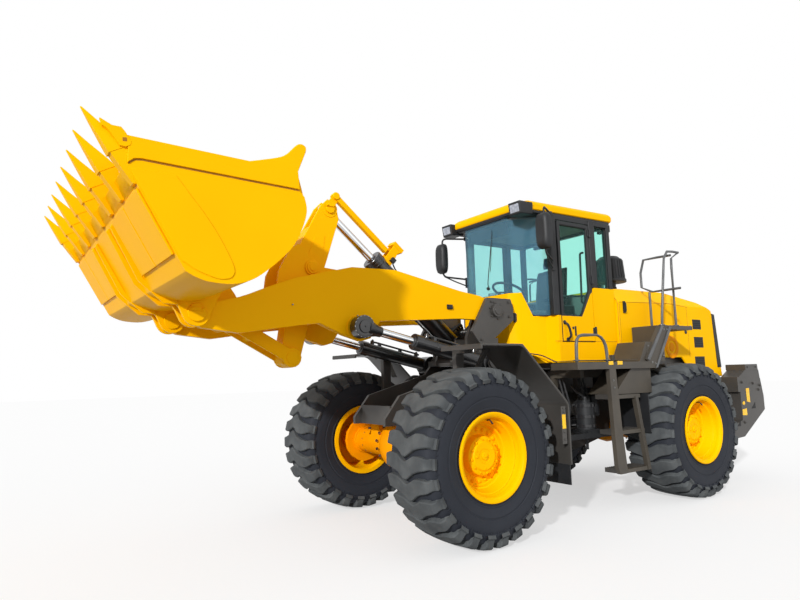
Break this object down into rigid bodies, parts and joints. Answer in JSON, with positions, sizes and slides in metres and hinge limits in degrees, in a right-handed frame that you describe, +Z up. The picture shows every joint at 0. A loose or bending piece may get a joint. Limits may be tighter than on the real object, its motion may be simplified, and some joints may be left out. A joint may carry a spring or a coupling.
{
  "type": "articulated wheel loader",
  "caption": "Articulated wheel loader with raised Z-bar boom, rolled-back toothed bucket, cab, rear engine hood and counterweight.",
  "frame": {"origin": "on the ground under the middle of the machine's length, on the centre plane", "axes": "+X forward towards the bucket, +Y to the operator's left, +Z up"},
  "size_m": [8.6144, 3, 3.47],
  "materials": {
    "yellow_paint": "glossy yellow enamel",
    "axle_paint": "orange-yellow enamel",
    "dark_paint": "satin dark grey",
    "black_trim": "satin black",
    "seat_fabric": "woven dark grey",
    "tinted_glass": "green-blue tinted",
    "cylinder_black": "satin black",
    "chrome_rod": "ground hard chrome",
    "tyre_rubber": "clean black rubber"
  },
  "bodies": {
    "rear_unit": {"rear_frame": "dark_paint", "rear_axle": "axle_paint", "counterweight": "dark_paint", "tow_pin": "dark_paint", "engine_block": "dark_paint", "transmission": "dark_paint", "hood": "yellow_paint", "cab_lower": "yellow_paint", "cab_frame": "black_trim", "cab_roof": "yellow_paint", "windscreen": "tinted_glass", "rear_window": "tinted_glass", "quarter_window": "tinted_glass", "right_window": "tinted_glass", "right_quarter_window": "tinted_glass", "seat": "seat_fabric", "steering_column": "black_trim", "platform_left": "dark_paint", "platform_right": "dark_paint", "side_tank_left": "black_trim", "side_tank_right": "black_trim", "grab_rail_left": "dark_paint", "grab_rail_right": "dark_paint", "handrail_left": "dark_paint", "handrail_right": "dark_paint", "mirror_left": "black_trim", "mirror_right": "black_trim", "precleaner": "black_trim"},
    "cab_door": {"cab_door": "yellow_paint", "door_glass": "tinted_glass"},
    "rear_grille": {"rear_grille": "black_trim"},
    "front_unit": {"front_frame": "dark_paint", "boom_tower": "dark_paint", "front_axle": "axle_paint", "fender_left": "dark_paint", "fender_right": "dark_paint"},
    "boom": {"boom": "yellow_paint"},
    "bellcrank": {"bellcrank": "yellow_paint"},
    "link": {"bucket_link": "yellow_paint"},
    "bucket": {"bucket_shell": "yellow_paint", "bucket_teeth": "yellow_paint"},
    "tilt_barrel": {"tilt_barrel": "cylinder_black"},
    "tilt_rod": {"tilt_rod": "chrome_rod"},
    "lift_barrel_left": {"lift_barrel_left": "cylinder_black"},
    "lift_rod_left": {"lift_rod_left": "chrome_rod"},
    "steer_barrel_left": {"steer_barrel_left": "cylinder_black"},
    "steer_rod_left": {"steer_rod_left": "chrome_rod"},
    "lift_barrel_right": {"lift_barrel_right": "cylinder_black"},
    "lift_rod_right": {"lift_rod_right": "chrome_rod"},
    "steer_barrel_right": {"steer_barrel_right": "cylinder_black"},
    "steer_rod_right": {"steer_rod_right": "chrome_rod"},
    "wheel_front_left": {"tyre_front_left": "tyre_rubber", "rim_front_left": "yellow_paint"},
    "wheel_front_right": {"tyre_front_right": "tyre_rubber", "rim_front_right": "yellow_paint"},
    "wheel_rear_left": {"tyre_rear_left": "tyre_rubber", "rim_rear_left": "yellow_paint"},
    "wheel_rear_right": {"tyre_rear_right": "tyre_rubber", "rim_rear_right": "yellow_paint"}
  },
  "joints": [
    {"name": "articulation", "type": "hinge", "parent": "rear_unit", "child": "front_unit", "pos_m": [-0.616, 0, 0.9], "axis": [0, 0, 1], "range_deg": [-38, 38]},
    {"name": "boom_lift", "type": "hinge", "parent": "front_unit", "child": "boom", "pos_m": [0.096, 0, 2.18], "axis": [0, -1, 0], "range_deg": [-32, 39.2]},
    {"name": "bucket_tilt", "type": "hinge", "parent": "boom", "child": "bucket", "pos_m": [3.331, 0, 2.045], "axis": [0, 1, 0], "range_deg": [0, 145]},
    {"name": "bellcrank_turn", "type": "hinge", "parent": "boom", "child": "bellcrank", "pos_m": [2.162, 0, 2.549], "axis": [0, 1, 0], "range_deg": [-52, 1]},
    {"name": "link_turn", "type": "hinge", "parent": "bucket", "child": "link", "pos_m": [2.954, 0, 2.03], "axis": [0, 1, 0], "range_deg": [-126, 1]},
    {"name": "tilt_barrel_swing", "type": "hinge", "parent": "front_unit", "child": "tilt_barrel", "pos_m": [0.334, 0, 1.83], "axis": [0, -1, 0], "range_deg": [-33, 40]},
    {"name": "tilt_rod_slide", "type": "slide", "parent": "tilt_barrel", "child": "tilt_rod", "axis": [0.7623, 0, 0.6472], "range_m": [-0.59, 0.002]},
    {"name": "lift_barrel_left_swing", "type": "hinge", "parent": "front_unit", "child": "lift_barrel_left", "pos_m": [0.315, 0.522, 1.611], "axis": [0, -1, 0], "range_deg": [-33, 41]},
    {"name": "lift_rod_left_slide", "type": "slide", "parent": "lift_barrel_left", "child": "lift_rod_left", "axis": [0.9743, 0, 0.2252], "range_m": [-0.32, 0.4]},
    {"name": "steer_barrel_left_swing", "type": "hinge", "parent": "rear_unit", "child": "steer_barrel_left", "pos_m": [-1.366, 0.43, 0.9], "axis": [0, 0, 1], "range_deg": [-12.5, 12.5]},
    {"name": "steer_rod_left_slide", "type": "slide", "parent": "steer_barrel_left", "child": "steer_rod_left", "axis": [0.9993, -0.0363, 0], "range_m": [-0.27, 0.27]},
    {"name": "lift_barrel_right_swing", "type": "hinge", "parent": "front_unit", "child": "lift_barrel_right", "pos_m": [0.315, -0.522, 1.611], "axis": [0, -1, 0], "range_deg": [-33, 41]},
    {"name": "lift_rod_right_slide", "type": "slide", "parent": "lift_barrel_right", "child": "lift_rod_right", "axis": [0.9743, 0, 0.2252], "range_m": [-0.32, 0.4]},
    {"name": "steer_barrel_right_swing", "type": "hinge", "parent": "rear_unit", "child": "steer_barrel_right", "pos_m": [-1.366, -0.43, 0.9], "axis": [0, 0, 1], "range_deg": [-12.5, 12.5]},
    {"name": "steer_rod_right_slide", "type": "slide", "parent": "steer_barrel_right", "child": "steer_rod_right", "axis": [0.9993, 0.0363, 0], "range_m": [-0.27, 0.27]},
    {"name": "wheel_front_left_spin", "type": "hinge", "parent": "front_unit", "child": "wheel_front_left", "pos_m": [1.034, 1.1, 0.78], "axis": [0, 1, 0], "continuous": true},
    {"name": "wheel_front_right_spin", "type": "hinge", "parent": "front_unit", "child": "wheel_front_right", "pos_m": [1.034, -1.1, 0.78], "axis": [0, 1, 0], "continuous": true},
    {"name": "wheel_rear_left_spin", "type": "hinge", "parent": "rear_unit", "child": "wheel_rear_left", "pos_m": [-2.266, 1.1, 0.78], "axis": [0, 1, 0], "continuous": true},
    {"name": "wheel_rear_right_spin", "type": "hinge", "parent": "rear_unit", "child": "wheel_rear_right", "pos_m": [-2.266, -1.1, 0.78], "axis": [0, 1, 0], "continuous": true},
    {"name": "cab_door_swing", "type": "hinge", "parent": "rear_unit", "child": "cab_door", "pos_m": [-1.218, 0.762, 2.4], "axis": [0, 0, 1], "range_deg": [0, 90]},
    {"name": "rear_grille_swing", "type": "hinge", "parent": "rear_unit", "child": "rear_grille", "pos_m": [-3.832, -0.712, 1.85], "axis": [0.1659, 0, 0.9861], "range_deg": [0, 100]}
  ],
  "couplings": [
    {"joint": "bellcrank_turn", "follows": "bucket_tilt", "ratio": -0.354},
    {"joint": "link_turn", "follows": "bucket_tilt", "ratio": -0.8655},
    {"joint": "tilt_barrel_swing", "follows": "boom_lift", "ratio": 1},
    {"joint": "tilt_rod_slide", "follows": "bucket_tilt", "m_per_rad": -0.2296},
    {"joint": "lift_barrel_left_swing", "follows": "boom_lift", "ratio": 1.027},
    {"joint": "lift_rod_left_slide", "follows": "boom_lift", "m_per_rad": 0.562},
    {"joint": "steer_barrel_left_swing", "follows": "articulation", "ratio": 0.3067},
    {"joint": "steer_rod_left_slide", "follows": "articulation", "m_per_rad": -0.3975},
    {"joint": "lift_barrel_right_swing", "follows": "boom_lift", "ratio": 1.027},
    {"joint": "lift_rod_right_slide", "follows": "boom_lift", "m_per_rad": 0.562},
    {"joint": "steer_barrel_right_swing", "follows": "articulation", "ratio": 0.3067},
    {"joint": "steer_rod_right_slide", "follows": "articulation", "m_per_rad": 0.3975}
  ]
}
